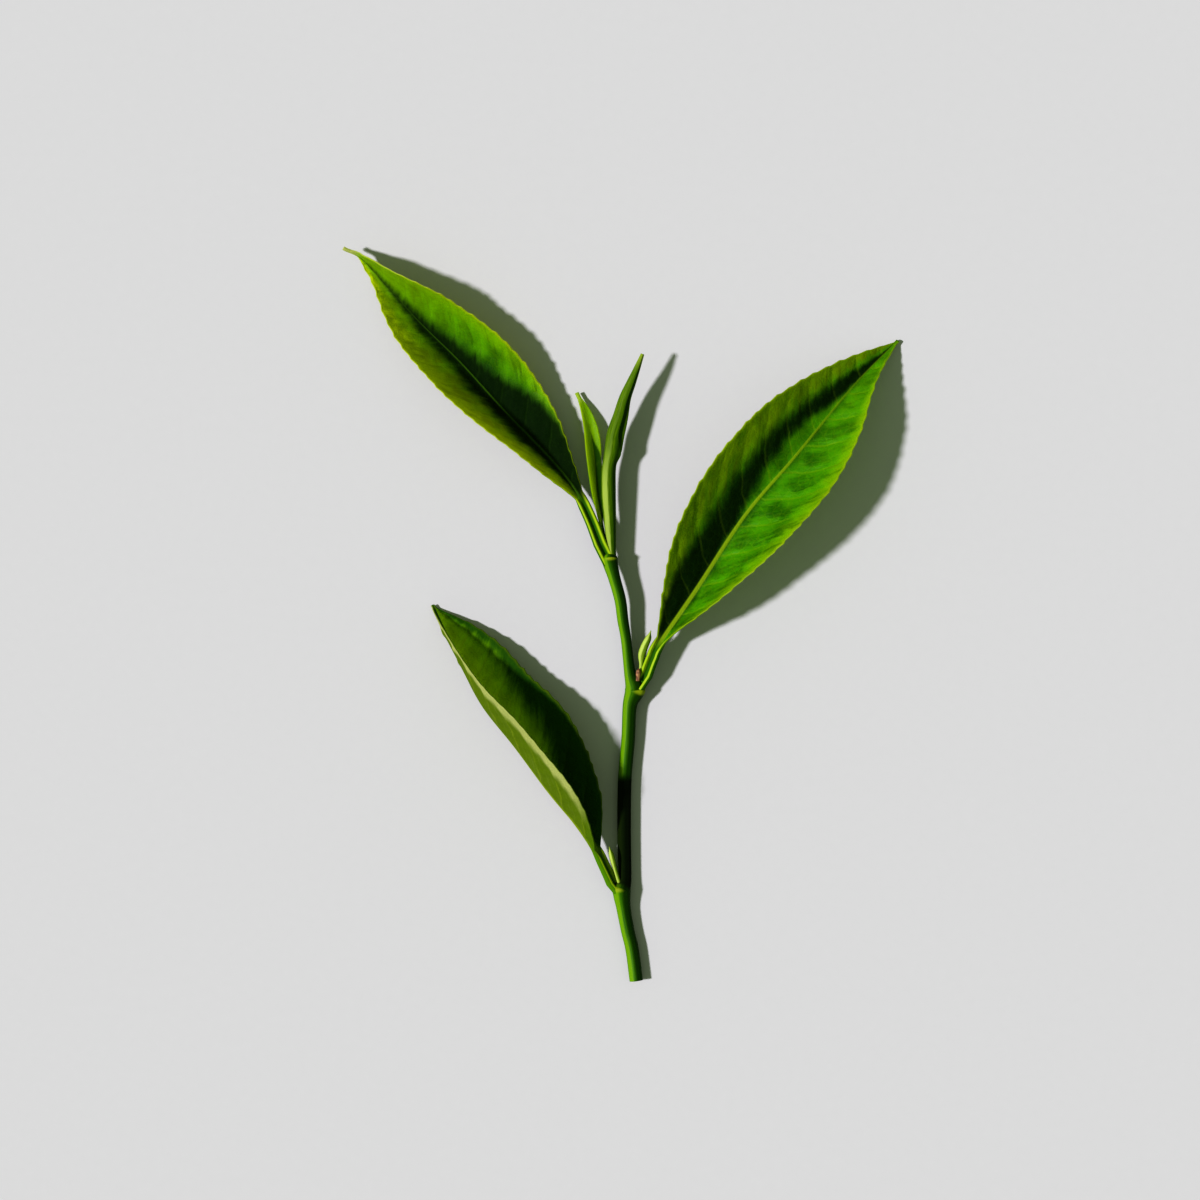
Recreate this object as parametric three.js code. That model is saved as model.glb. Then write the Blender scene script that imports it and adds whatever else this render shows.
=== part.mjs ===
// A cut sprig of a tea bush that lies on a flat surface, in millimetres.
// +X runs to the right of the sprig as it is seen from above, +Y from the cut end towards the shoot tip, +Z up.
import * as THREE from "three";

// Thickness of every blade, and the thickness of its edge.
const BLADE = 0.66;
const EDGE = 0.6;

// Saw teeth of the leaf margins: their pitch along the leaf, their depth, and where on the pitch the point sits.
const TOOTH_PITCH = 2.05;
const TOOTH_DEPTH = 0.3;
const TOOTH_POINT = 0.7;

// Teeth at either end of a blade over which they fade out, and the steps along a blade that has none.
const TEETH_FADE = 3;
const PLAIN_STEPS = 14;

// Divisions of half a blade from the midrib to the margin, and of the bare stalk along its length.
const HALF_DIVISIONS = 4;
const STALK_DIVISIONS = 4;

// The midrib under the blade: how its thickness falls along the leaf, how far its foot reaches to each side
// and how full it is there, as shares of its own half thickness.
const RIB_FALL = 0.6;
const RIB_REACH = 1.1;
const RIB_SHOULDER = 0.45;

// A sharp fold needs blade beside it: that length, for each unit of the blade's half thickness and of the
// tangent of the fold, and the most of a half width that it may take up.
const FOLD_LENGTH = 1.25;
const FOLD_SHARE = 0.6;

// Share of a blade's length over which the waves of its margin grow from nothing.
const WAVE_GROWTH = 1 / 12;

// Share of a curve's length to either side over which its direction is measured.
const DIRECTION_SPAN = 0.004;

// Each leaf is given by:
//   midrib   places along the midrib, from the stalk's foot to the tip
//   stalk    share of that length that is bare stalk
//   radius   half thickness of the stalk at its foot and of the rib at the tip
//   left, right   half widths of the blade, flat, at even steps from the stalk to the tip
//   inner, outer  how steeply each half rises at the midrib and at the margin, in degrees, at stalk, middle and tip
//   roll     how far the whole section turns about the midrib, right side up, in degrees, at stalk, middle and tip
//   wave     height of the waves of the margin, and their number along the leaf
//   toothed  whether the margin has saw teeth
const LEAF_RIGHT = {
  midrib: [
    [3.8, -9.0, 2.4],
    [4.7, -6.6, 2.8],
    [5.9, -4.1, 3.2],
    [11.2, 3.8, 4.0],
    [18.3, 14.7, 4.4],
    [25.6, 23.3, 4.2],
    [34.7, 34.2, 2.6],
    [41.4, 41.0, 0.53],
  ],
  stalk: 0.06,
  radius: [0.7, 0.3],
  left: { width: [4.4, 7.8, 9.5, 10.3, 9.7, 7.1, 3.6], inner: [31, 15, 17], outer: [60, 52, 50] },
  right: { width: [4.9, 7.4, 9.2, 9.4, 8.7, 6.6, 2.9], inner: [45, 18, 33], outer: [70, 56, 45] },
  roll: [24, 3, 22],
  wave: [0.35, 2.5],
  toothed: true,
};

const LEAF_UPPER = {
  midrib: [
    [-3.25, 10.5, 3.1],
    [-4.9, 14.7, 2.75],
    [-7.0, 18.7, 2.3],
    [-10.8, 23.4, 1.8],
    [-17.6, 30.5, 1.0],
    [-24.2, 37.8, 0.75],
    [-30.6, 44.2, 1.1],
    [-38.1, 52.6, 2.6],
    [-41.5, 54.6, 3.2],
  ],
  stalk: 0.1,
  radius: [0.66, 0.3],
  left: { width: [4.0, 6.4, 8.2, 8.5, 6.9, 4.5, 1.5], inner: [36, 33, 22], outer: [60, 70, 62] },
  right: { width: [2.7, 5.8, 7.6, 8.2, 8.0, 7.6, 4.6], inner: [22, 20, 38], outer: [31, 50, 55] },
  roll: [-5, -2, 44],
  wave: [0.3, 2.5],
  toothed: true,
};

const LEAF_LOWER = {
  midrib: [
    [-1.6, -40.1, 1.5],
    [-2.6, -37.9, 2.0],
    [-4.3, -34.4, 2.6],
    [-6.8, -30.8, 3.0],
    [-10.8, -26.0, 3.3],
    [-15.6, -19.6, 3.4],
    [-20.4, -13.6, 3.2],
    [-23.5, -8.0, 2.6],
    [-26.4, -2.5, 1.6],
    [-28.3, 1.4, 0.5],
  ],
  stalk: 0.08,
  radius: [0.7, 0.3],
  left: { width: [5.0, 7.8, 9.0, 9.2, 8.3, 6.2, 3.5], inner: [74, 62, 46], outer: [78, 64, 48] },
  right: { width: [5.0, 7.6, 8.6, 8.9, 8.2, 6.8, 4.4], inner: [60, 49, 36], outer: [68, 57, 42] },
  roll: [-41, -46, -43],
  wave: [0.25, 3.0],
  toothed: true,
};

const LEAF_YOUNG = {
  midrib: [
    [-2.75, 12.0, 1.85],
    [-3.3, 15.0, 1.8],
    [-3.8, 17.8, 1.8],
    [-4.0, 20.8, 1.75],
    [-4.3, 23.5, 1.65],
    [-4.8, 26.5, 1.5],
    [-5.3, 28.7, 1.35],
    [-6.1, 31.2, 1.1],
    [-6.8, 33.2, 0.9],
  ],
  stalk: 0.05,
  radius: [0.34, 0.3],
  left: { width: [0.8, 1.2, 1.5, 1.6, 1.5, 1.1, 0.7], inner: [60, 34, 46], outer: [64, 40, 50] },
  right: { width: [0.3, 0.3, 0.5, 0.9, 1.3, 1.2, 0.7], inner: [40, 44, 46], outer: [46, 50, 50] },
  roll: [-38, -22, -36],
  wave: [0, 1],
  toothed: false,
};

// Round pieces are given by places along the middle line, each with its radius.
const STEM = [
  [2.2, -54.8, 1.0, 0.98],
  [1.6, -50.2, 1.0, 0.98],
  [0.9, -47.2, 1.02, 0.98],
  [0.3, -43.9, 1.1, 1.05],
  [0.05, -41.3, 1.35, 1.3],
  [0.45, -39.1, 1.15, 1.02],
  [0.4, -32.2, 1.15, 1.0],
  [0.5, -24.8, 1.15, 1.0],
  [1.0, -18.8, 1.2, 1.0],
  [1.25, -13.7, 1.4, 1.05],
  [1.95, -11.2, 1.65, 1.4],
  [1.25, -8.6, 1.7, 0.85],
  [0.7, -3.8, 1.9, 0.77],
  [0.2, -0.8, 2.3, 0.82],
  [-0.2, 2.2, 2.6, 0.85],
  [-1.1, 5.5, 2.7, 0.9],
  [-1.7, 7.8, 2.7, 1.12],
  [-1.75, 9.1, 2.7, 1.05],
];

const BUD_TERMINAL = [
  [-1.5, 9.6, 2.7, 0.72],
  [-1.75, 14.0, 2.8, 1.0],
  [-1.95, 18.4, 3.0, 1.18],
  [-1.9, 21.8, 3.2, 1.16],
  [-1.4, 24.4, 3.4, 1.12],
  [-1.0, 26.9, 3.6, 1.12],
  [-0.2, 29.6, 3.9, 0.98],
  [0.5, 32.1, 4.3, 0.85],
  [1.4, 34.3, 4.6, 0.7],
  [2.2, 36.3, 4.9, 0.5],
  [3.1, 38.7, 5.1, 0.3],
];

const BUD_AXIL_RIGHT = [
  [2.95, -7.4, 2.5, 0.32],
  [3.05, -6.0, 2.7, 0.58],
  [3.45, -4.7, 3.0, 0.58],
  [4.0, -3.5, 3.3, 0.48],
  [4.35, -2.4, 3.5, 0.3],
];

const BUD_AXIL_LOWER = [
  [-0.95, -38.0, 2.5, 0.3],
  [-1.35, -36.4, 2.8, 0.42],
  [-1.85, -34.6, 3.0, 0.3],
];

const SCALE_AXIL = [
  [2.45, -9.6, 2.85, 0.3],
  [2.5, -8.8, 2.95, 0.36],
  [2.55, -8.0, 3.05, 0.3],
];

// Materials, with the colour and the finish that each piece has in daylight.
const finish = (colour, roughness) =>
  new THREE.MeshStandardMaterial({ color: colour, roughness, metalness: 0 });
const LEAF_GREEN = finish(0x4f8f12, 0.38);
const YOUNG_GREEN = finish(0x86ae2a, 0.42);
const STEM_GREEN = finish(0x5f8c1e, 0.45);
const BUD_GREEN = finish(0xa3bb55, 0.5);
const SCALE_BROWN = finish(0x7a5234, 0.7);

const radians = (degrees) => (degrees * Math.PI) / 180;
const clamp = (value, low, high) => Math.min(Math.max(value, low), high);

// A smooth value along a piece from those at its foot, middle and tip.
function along([foot, middle, tip], u) {
  return foot * (1 - u) * (1 - 2 * u) + middle * 4 * u * (1 - u) + tip * u * (2 * u - 1);
}

// A half width along a blade from those at even steps; it is nothing at both ends.
function widthAt(steps, u) {
  const all = [-steps[0], 0, ...steps, 0, -steps[steps.length - 1]];
  const place = u * (steps.length + 1);
  const k = Math.min(Math.floor(place), steps.length);
  const f = place - k;
  const [a, b, c, d] = all.slice(k, k + 4);
  return 0.5 * (2 * b + (c - a) * f + (2 * a - 5 * b + 4 * c - d) * f ** 2 + (3 * b - a - 3 * c + d) * f ** 3);
}

// A smooth curve through given places, each of any number of values; it is read by share of its length.
function smoothCurve(places, samples = 40) {
  const mirror = (p, q) => p.map((value, i) => 2 * value - q[i]);
  const last = places.length - 1;
  const padded = [mirror(places[0], places[1]), ...places, mirror(places[last], places[last - 1])];
  const points = [];
  for (let i = 1; i <= last; i++) {
    for (let s = 0; s < samples; s++) {
      const t = s / samples;
      const [a, b, c, d] = padded.slice(i - 1, i + 3);
      points.push(
        b.map(
          (value, k) =>
            0.5 *
            (2 * value +
              (c[k] - a[k]) * t +
              (2 * a[k] - 5 * value + 4 * c[k] - d[k]) * t ** 2 +
              (3 * value - a[k] - 3 * c[k] + d[k]) * t ** 3),
        ),
      );
    }
  }
  points.push(places[last]);
  const run = [0];
  for (let i = 1; i < points.length; i++) {
    const [p, q] = [points[i - 1], points[i]];
    run.push(run[i - 1] + Math.hypot(q[0] - p[0], q[1] - p[1], q[2] - p[2]));
  }
  const length = run[run.length - 1];
  const at = (share) => {
    const want = clamp(share, 0, 1) * length;
    const i = Math.max(run.findIndex((value) => value >= want), 1);
    const f = (want - run[i - 1]) / (run[i] - run[i - 1]);
    return points[i].map((value, k) => points[i - 1][k] * (1 - f) + value * f);
  };
  return { at, length };
}

// The two directions square to a curve, turned by a roll angle.
function frameAt(curve, share, roll) {
  const [x0, y0, z0] = curve.at(share - DIRECTION_SPAN);
  const [x1, y1, z1] = curve.at(share + DIRECTION_SPAN);
  const ahead = new THREE.Vector3(x1 - x0, y1 - y0, z1 - z0).normalize();
  const flatSide = new THREE.Vector3().crossVectors(ahead, new THREE.Vector3(0, 0, 1)).normalize();
  const flatUp = new THREE.Vector3().crossVectors(flatSide, ahead);
  const side = flatSide.clone().multiplyScalar(Math.cos(roll)).addScaledVector(flatUp, Math.sin(roll));
  const up = flatUp.clone().multiplyScalar(Math.cos(roll)).addScaledVector(flatSide, -Math.sin(roll));
  return { side, up };
}

// A closed solid through rings of equally many points; mirrorFrom is the point from which a ring runs back
// along its other face, where the squares are split the other way so that both faces split alike.
function solidThrough(rings, mirrorFrom = Infinity) {
  const count = rings[0].length;
  const positions = rings.flat().flatMap((p) => [p.x, p.y, p.z]);
  const faces = [];
  const corner = (ring, k) => ring * count + (k % count);
  for (let ring = 0; ring + 1 < rings.length; ring++) {
    for (let k = 0; k < count; k++) {
      const [a, b, c, d] = [corner(ring, k), corner(ring, k + 1), corner(ring + 1, k + 1), corner(ring + 1, k)];
      if (k < mirrorFrom) faces.push(a, b, c, a, c, d);
      else faces.push(a, b, d, b, c, d);
    }
  }
  const last = rings.length - 1;
  const half = Math.floor(count / 2);
  for (let k = 0; k + 1 < half; k++) {
    const [near, far] = [count - 1 - k, count - 2 - k];
    faces.push(corner(0, k), corner(0, near), corner(0, k + 1));
    faces.push(corner(0, near), corner(0, far), corner(0, k + 1));
    faces.push(corner(last, k), corner(last, k + 1), corner(last, near));
    faces.push(corner(last, near), corner(last, k + 1), corner(last, far));
  }
  const geometry = new THREE.BufferGeometry();
  geometry.setAttribute("position", new THREE.Float32BufferAttribute(positions, 3));
  geometry.setIndex(faces);
  return geometry;
}

// Places along a leaf at which it is cut into rings: through the stalk, then at the foot and point of each tooth.
function leafStations(leaf, length) {
  const stations = [];
  for (let i = 0; i < STALK_DIVISIONS; i++) stations.push({ share: (leaf.stalk * i) / STALK_DIVISIONS, tooth: 0 });
  const blade = 1 - leaf.stalk;
  const teeth = leaf.toothed ? Math.round((length * blade) / TOOTH_PITCH) : PLAIN_STEPS;
  const depth = leaf.toothed ? TOOTH_DEPTH : 0;
  for (let i = 0; i < teeth; i++) {
    const fade = clamp(Math.min(i, teeth - 1 - i) / TEETH_FADE, 0, 1);
    stations.push({ share: leaf.stalk + (blade * i) / teeth, tooth: 0 });
    stations.push({ share: leaf.stalk + (blade * (i + TOOTH_POINT)) / teeth, tooth: depth * fade });
  }
  stations.push({ share: 1, tooth: 0 });
  return stations;
}

// The two halves of a leaf's section: slopes at the midrib and the margin in radians, half width, and the flat
// distance from the midrib to the end of the fold. A blade too narrow for its fold is opened until it fits.
function foldedHalves(leaf, u, rib, tooth) {
  const halves = [leaf.left, leaf.right].map((half) => ({
    inner: radians(along(half.inner, u)),
    outer: radians(along(half.outer, u)),
    width: Math.max(widthAt(half.width, u) + tooth, rib),
  }));
  const fold = (halves[0].inner + halves[1].inner) / 2;
  const room = FOLD_SHARE * Math.min(halves[0].width, halves[1].width);
  const unit = (FOLD_LENGTH * BLADE) / 2;
  const length = Math.min(Math.max(RIB_REACH * rib, unit * Math.tan(fold)), room);
  const open = Math.min(1, Math.atan(length / unit) / fold);
  return halves.map(({ inner, outer, width }) => ({ inner: inner * open, outer: outer * open, width, length }));
}

// Where a point at share t of a half width lies in the section, and how steep the blade is there.
function halfSection({ inner, outer, width }, t) {
  const bend = outer - inner;
  const slope = inner + bend * t;
  const across = (width * (Math.sin(slope) - Math.sin(inner))) / bend;
  const rise = (width * (Math.cos(inner) - Math.cos(slope))) / bend;
  return { across, rise, slope };
}

// How far the wave of a margin lifts a point at share t of the half width.
function waveAt([height, waves], u, t, isLeft) {
  const turn = 2 * Math.PI * (waves * u + (isLeft ? 0.5 : 0));
  return height * t ** 2 * Math.sin(Math.PI * u) * Math.sin(turn) * Math.min(1, u / WAVE_GROWTH);
}

function leafRing(leaf, curve, { share, tooth }) {
  const u = clamp((share - leaf.stalk) / (1 - leaf.stalk), 0, 1);
  const rib = leaf.radius[0] + (leaf.radius[1] - leaf.radius[0]) * share ** RIB_FALL;
  const [left, right] = foldedHalves(leaf, u, rib, tooth);
  const { side, up } = frameAt(curve, share, radians(along(leaf.roll, u)));
  const middle = new THREE.Vector3(...curve.at(share));
  const top = [];
  const under = [];
  const addPair = (across, rise, tilt, above, below) => {
    const point = middle.clone().addScaledVector(side, across).addScaledVector(up, rise);
    const normal = up.clone().multiplyScalar(Math.cos(tilt)).addScaledVector(side, -Math.sin(tilt));
    top.push(point.clone().addScaledVector(normal, above));
    under.push(point.clone().addScaledVector(normal, -below));
  };
  for (let column = -HALF_DIVISIONS; column <= HALF_DIVISIONS; column++) {
    if (column === 0) {
      const fold = (left.inner + right.inner) / 2;
      addPair(0, 0, (right.inner - left.inner) / 2, BLADE / 2 / Math.cos(fold), BLADE / 2 + rib);
      continue;
    }
    const half = column < 0 ? left : right;
    const sign = Math.sign(column);
    const step = Math.abs(column);
    const first = half.length / half.width;
    const t = first + ((1 - first) * (step - 1)) / (HALF_DIVISIONS - 1);
    const { across, rise, slope } = halfSection(half, t);
    const thickness = step === HALF_DIVISIONS ? EDGE : BLADE;
    const shoulder = step === 1 ? RIB_SHOULDER * rib : 0;
    const wave = waveAt(leaf.wave, u, t, sign < 0);
    addPair(sign * across, rise + wave, sign * slope, thickness / 2, thickness / 2 + shoulder);
  }
  return [...top, ...under.reverse()];
}

function leafGeometry(leaf) {
  const curve = smoothCurve(leaf.midrib);
  const rings = leafStations(leaf, curve.length).map((station) => leafRing(leaf, curve, station));
  return solidThrough(rings, 2 * HALF_DIVISIONS + 1);
}

function roundGeometry(places, sides, steps) {
  const curve = smoothCurve(places);
  const rings = [];
  for (let i = 0; i <= steps; i++) {
    const share = i / steps;
    const { side, up } = frameAt(curve, share, 0);
    const [x, y, z, radius] = curve.at(share);
    const ring = [];
    for (let k = 0; k < sides; k++) {
      const angle = (2 * Math.PI * k) / sides;
      ring.push(
        new THREE.Vector3(x, y, z)
          .addScaledVector(side, -radius * Math.cos(angle))
          .addScaledVector(up, radius * Math.sin(angle)),
      );
    }
    rings.push(ring);
  }
  return solidThrough(rings);
}

const sprig = new THREE.Group();
function add(name, geometry, material) {
  const mesh = new THREE.Mesh(geometry, material);
  mesh.name = name;
  sprig.add(mesh);
}

add("stem", roundGeometry(STEM, 12, 60), STEM_GREEN);
add("leaf_right", leafGeometry(LEAF_RIGHT), LEAF_GREEN);
add("leaf_upper", leafGeometry(LEAF_UPPER), LEAF_GREEN);
add("leaf_lower", leafGeometry(LEAF_LOWER), LEAF_GREEN);
add("leaf_young", leafGeometry(LEAF_YOUNG), YOUNG_GREEN);
add("bud_terminal", roundGeometry(BUD_TERMINAL, 10, 28), BUD_GREEN);
add("bud_axil_right", roundGeometry(BUD_AXIL_RIGHT, 8, 9), BUD_GREEN);
add("bud_axil_lower", roundGeometry(BUD_AXIL_LOWER, 8, 6), BUD_GREEN);
add("scale_axil", roundGeometry(SCALE_AXIL, 8, 4), SCALE_BROWN);

// The origin is the middle of the sprig's bounds, on the surface it lies on.
const bounds = new THREE.Box3().setFromObject(sprig);
const middle = bounds.getCenter(new THREE.Vector3());
sprig.position.set(-middle.x, -middle.y, -bounds.min.z);

export default sprig;
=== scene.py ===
"""Looks of a tea sprig that lies on a pale floor: finer leaves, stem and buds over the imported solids.

Shapes are worked out in millimetres in the sprig's own drawing frame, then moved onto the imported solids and
turned into metres. +X is right as seen from above, +Y runs towards the shoot tip, +Z is up.

On a leaf, u is the share of the blade's length from stalk to tip, and t is the share of the half width
from midrib to margin. On a round piece, share runs from foot to tip, and angle starts on its left and
runs over the top.
"""

import math
from types import SimpleNamespace

import bpy
import numpy as np
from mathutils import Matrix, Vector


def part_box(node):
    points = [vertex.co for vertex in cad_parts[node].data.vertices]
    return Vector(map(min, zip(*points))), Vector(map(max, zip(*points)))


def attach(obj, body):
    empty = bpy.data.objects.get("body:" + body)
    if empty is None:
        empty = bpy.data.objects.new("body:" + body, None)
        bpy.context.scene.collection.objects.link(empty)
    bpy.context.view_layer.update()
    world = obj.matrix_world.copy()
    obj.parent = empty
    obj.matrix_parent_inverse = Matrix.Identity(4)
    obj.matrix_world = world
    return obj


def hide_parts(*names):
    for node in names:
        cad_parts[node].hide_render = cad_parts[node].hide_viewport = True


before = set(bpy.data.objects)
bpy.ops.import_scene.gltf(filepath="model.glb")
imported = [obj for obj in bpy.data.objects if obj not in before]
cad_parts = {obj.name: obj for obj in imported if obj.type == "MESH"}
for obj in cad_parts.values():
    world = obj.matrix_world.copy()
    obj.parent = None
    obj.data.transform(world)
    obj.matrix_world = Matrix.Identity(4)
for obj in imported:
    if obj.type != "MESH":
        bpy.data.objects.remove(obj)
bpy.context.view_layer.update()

MM = 0.001

# Saw teeth of the margins in millimetres, as in the solids.
TOOTH_PITCH = 2.05
TOOTH_DEPTH = 0.26

# A tooth: where it is highest, how its back curves, how uneven teeth are, and how many fade at each end.
TOOTH_POINT = 0.7
TOOTH_CURVE = 1.3
TOOTH_UNEVEN = 0.2
TEETH_TO_FADE = 3

# Rows and columns of a leaf's mesh; the extra columns lie beside the midrib and at the margin.
ROWS_PER_TOOTH = 10
STALK_ROWS = 14
FOOT_ROWS = 4
COLUMN_SPREAD = 1.15
EXTRA_COLUMNS = (0.012, 0.03, 0.055, 0.985)

# Thickness in millimetres; it falls by a share towards the margin, where the edge starts at a share t.
BLADE_THICKNESS = 0.36
EDGE_THICKNESS = 0.14
EDGE_THINNING = 0.35
EDGE_START = 0.99

# The midrib: its taper, its radius against the solid's, and how far out and down it bulges below.
RIB_TAPER = 0.6
RIB_SHARE = 0.94
RIB_REACH = 1.1
RIB_DEPTH = 0.95

# The low ridge on the midrib and the valley beside it in millimetres, and how much they fade at the tip.
RIDGE_HEIGHT = 0.1
CREST_WIDTH = 0.28
VALLEY_PLACE = 0.75
VALLEY_WIDTH = 0.4
RIDGE_FADE = 0.6

# The stalk: where it is bare, its channel above as shares of its radius, and where its wing ends.
BARE_END = 0.055
STALK_CHANNEL = 0.25
STALK_WALL = 0.5
WING_END = 0.12

# The fold at the midrib in millimetres, and the share of the narrower half that it may take.
SOLID_HALF_THICKNESS = 0.33
FOLD_UNIT = 1.25 * SOLID_HALF_THICKNESS
FOLD_RADIUS = 0.45
FOLD_SHARE = 0.6

# Side veins: the step between them in millimetres, their lean and bend, and how far on the left ones start.
VEIN_PITCH = 5.2
VEIN_LEAN = 0.55
VEIN_BEND = 0.045
VEIN_LEFT_SHIFT = 0.45

# Relief of the blade in millimetres: veins drawn in, puffed fields between them and small ripples.
VEIN_HALF_WIDTH = 0.32
VEIN_GROOVE = 0.06
PUFF_HEIGHT = 0.2
RIPPLE_HEIGHT = 0.05

# How much the veins stand out below against how deep they are above, and how round the puffed fields are.
VEIN_BELOW = 1.2
PUFF_ROUNDNESS = 0.6

# Where the relief sets in and ends, across the half width and along the blade.
RELIEF_INNER = (0.06, 0.3)
RELIEF_OUTER = (0.78, 0.98)
RELIEF_FOOT = (0.0, 0.08)
RELIEF_TIP = (0.9, 1.0)

# Where a blade is made slimmer along its length, and how soon the wave of its margin sets in.
SLIM_FOOT_END = 0.13
SLIM_TIP = (0.92, 0.965)
WAVE_RISE = 12

# How softly a zone of painted shade ends, in shares of the half width.
PAINTED_SHADE_FADE = (-0.34, 0.3)

# The least height of any point above the floor in millimetres.
FLOOR_GAP = 0.01

# Leaves, with all lengths in millimetres.
# midrib: places from stalk to tip; foot: where it starts inside the stem; stalk: the stalk's share of it.
# wing: how much broader than its rib the blade's foot is; radius: of the rib at its foot and its tip.
# left, right: half widths at even steps, and slopes in degrees beside the midrib and at the margin.
# roll: turn about the midrib in degrees; the slopes too are given at foot, middle and tip.
# wave: height and count of the margin's waves; slim_foot, slim_tip: how much slimmer the blade is there.
# Painted shade on the left and right halves, for the shadow that a raised half casts: share of the length,
# and the shares t where the painted shade starts and ends there. shade: least painted shade on the left and
# right; soft: how softly the painted shade starts.
LEAF_RIGHT = {
    "name": "leaf_right_blade",
    "node": "leaf_right",
    "midrib": [
        (3.8, -9.0, 2.4),
        (4.7, -6.6, 2.8),
        (5.9, -4.1, 3.2),
        (11.2, 3.8, 4.0),
        (18.3, 14.7, 4.4),
        (25.6, 23.3, 4.2),
        (34.7, 34.2, 2.6),
        (41.4, 41.0, 0.53),
    ],
    "foot": (2.1, -11.6, 1.8),
    "stalk": 0.06,
    "wing": 0.55,
    "radius": (0.7, 0.3),
    "left": {"width": (4.4, 7.8, 9.5, 10.3, 9.7, 7.1, 3.6), "inner": (31, 15, 17), "outer": (60, 52, 50)},
    "right": {"width": (4.9, 7.4, 9.2, 9.4, 8.7, 6.6, 2.9), "inner": (45, 18, 33), "outer": (70, 56, 45)},
    "roll": (24, 3, 22),
    "wave": (0.35, 2.5),
    "painted_shade_left": [
        (0.0, 0.0, 1.0),
        (0.12, 0.0, 0.85),
        (0.27, 0.0, 0.58),
        (0.38, 0.02, 0.5),
        (0.48, 0.16, 0.52),
        (0.62, 0.28, 0.58),
        (0.7, 0.22, 0.56),
        (0.78, 0.08, 0.5),
        (0.86, 0.0, 0.44),
        (1.0, 0.0, 0.2),
    ],
    "painted_shade_right": [(0.0, 0.0, 0.2), (0.3, 0.0, 0.0), (1.0, 0.0, 0.0)],
    "shade": (0.26, 0.12),
    "soft": 0.2,
    "slim_foot": 0.15,
    "slim_tip": 0.0,
}

LEAF_UPPER = {
    "name": "leaf_upper_blade",
    "node": "leaf_upper",
    "midrib": [
        (-3.25, 10.5, 3.1),
        (-4.9, 14.7, 2.75),
        (-7.0, 18.7, 2.3),
        (-10.8, 23.4, 1.8),
        (-17.6, 30.5, 1.0),
        (-24.2, 37.8, 0.75),
        (-30.6, 44.2, 1.1),
        (-38.1, 52.6, 2.6),
        (-41.5, 54.6, 3.2),
    ],
    "foot": (-1.75, 7.5, 2.75),
    "stalk": 0.1,
    "wing": 0.45,
    "radius": (0.66, 0.3),
    "left": {"width": (4.0, 6.4, 8.2, 8.5, 6.9, 4.5, 1.5), "inner": (36, 33, 22), "outer": (60, 70, 62)},
    "right": {"width": (2.7, 5.8, 7.6, 8.2, 8.0, 7.6, 4.6), "inner": (22, 20, 38), "outer": (31, 50, 55)},
    "roll": (-5, -2, 44),
    "wave": (0.3, 2.5),
    "painted_shade_left": [(0.0, 0.0, 0.2), (0.2, 0.0, 0.3), (0.5, 0.0, 0.26), (0.8, 0.0, 0.16), (1.0, 0.0, 0.1)],
    "painted_shade_right": [
        (0.0, 0.0, 1.2),
        (0.2, 0.0, 1.0),
        (0.32, 0.0, 0.75),
        (0.42, 0.0, 0.45),
        (0.6, 0.0, 0.24),
        (0.8, 0.0, 0.1),
        (1.0, 0.0, 0.0),
    ],
    "shade": (0.05, 0.12),
    "soft": 0.12,
    "slim_foot": 0.12,
    "slim_tip": 0.62,
}

LEAF_LOWER = {
    "name": "leaf_lower_blade",
    "node": "leaf_lower",
    "midrib": [
        (-1.6, -40.1, 1.5),
        (-2.6, -37.9, 2.0),
        (-4.3, -34.4, 2.6),
        (-6.8, -30.8, 3.0),
        (-10.8, -26.0, 3.3),
        (-15.6, -19.6, 3.4),
        (-20.4, -13.6, 3.2),
        (-23.5, -8.0, 2.6),
        (-26.4, -2.5, 1.6),
        (-28.3, 1.4, 0.5),
    ],
    "foot": (0.0, -42.0, 1.3),
    "stalk": 0.08,
    "wing": 0.5,
    "radius": (0.7, 0.3),
    "left": {"width": (5.0, 7.8, 9.0, 9.2, 8.3, 6.2, 3.5), "inner": (74, 62, 46), "outer": (78, 64, 48)},
    "right": {"width": (5.0, 7.6, 8.6, 8.9, 8.2, 6.8, 4.4), "inner": (60, 49, 36), "outer": (68, 57, 42)},
    "roll": (-41, -46, -43),
    "wave": (0.25, 3.0),
    "painted_shade_left": [(0.0, 0.0, 1.2), (1.0, 0.0, 1.2)],
    "painted_shade_right": [
        (0.0, 0.0, 1.2),
        (0.22, 0.1, 1.2),
        (0.4, 0.44, 1.2),
        (0.6, 0.62, 1.2),
        (0.8, 0.72, 1.2),
        (1.0, 0.6, 1.2),
    ],
    "shade": (0.0, 0.1),
    "soft": 0.42,
    "slim_foot": 0.42,
    "slim_tip": 0.0,
}

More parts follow.
